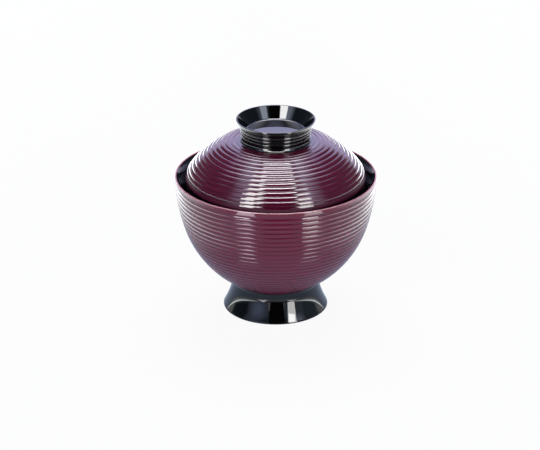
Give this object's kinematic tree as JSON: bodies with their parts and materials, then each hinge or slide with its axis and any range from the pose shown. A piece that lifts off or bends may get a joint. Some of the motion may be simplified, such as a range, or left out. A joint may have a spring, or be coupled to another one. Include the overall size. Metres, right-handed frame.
{
  "type": "lidded soup bowl",
  "caption": "Turned soup bowl on a flared foot, with a domed lid that lifts off by its ring knob; ribbed wine-red lacquer outside, plain black lacquer inside.",
  "frame": {"origin": "middle of the ring that the foot stands on, in the plane of that ring", "axes": "+Z is the turning axis of bowl and lid and points up through the knob; X and Y are free, because every piece is round"},
  "size_m": [0.11, 0.11, 0.1095],
  "materials": {
    "turned_wood": "plain turned wood, hidden under the lacquer",
    "wine_lacquer": "polished wine-red lacquer",
    "black_lacquer": "polished black lacquer"
  },
  "bodies": {
    "bowl": {"bowl_core": "turned_wood", "bowl_outer_coat": "wine_lacquer", "bowl_lining": "black_lacquer", "bowl_foot": "black_lacquer"},
    "lid": {"lid_core": "turned_wood", "lid_outer_coat": "wine_lacquer", "lid_lining": "black_lacquer", "lid_knob": "black_lacquer"}
  },
  "joints": [
    {"name": "lid_lift", "type": "slide", "parent": "bowl", "child": "lid", "axis": [0, 0, 1], "range_m": [0, 0.08]}
  ]
}
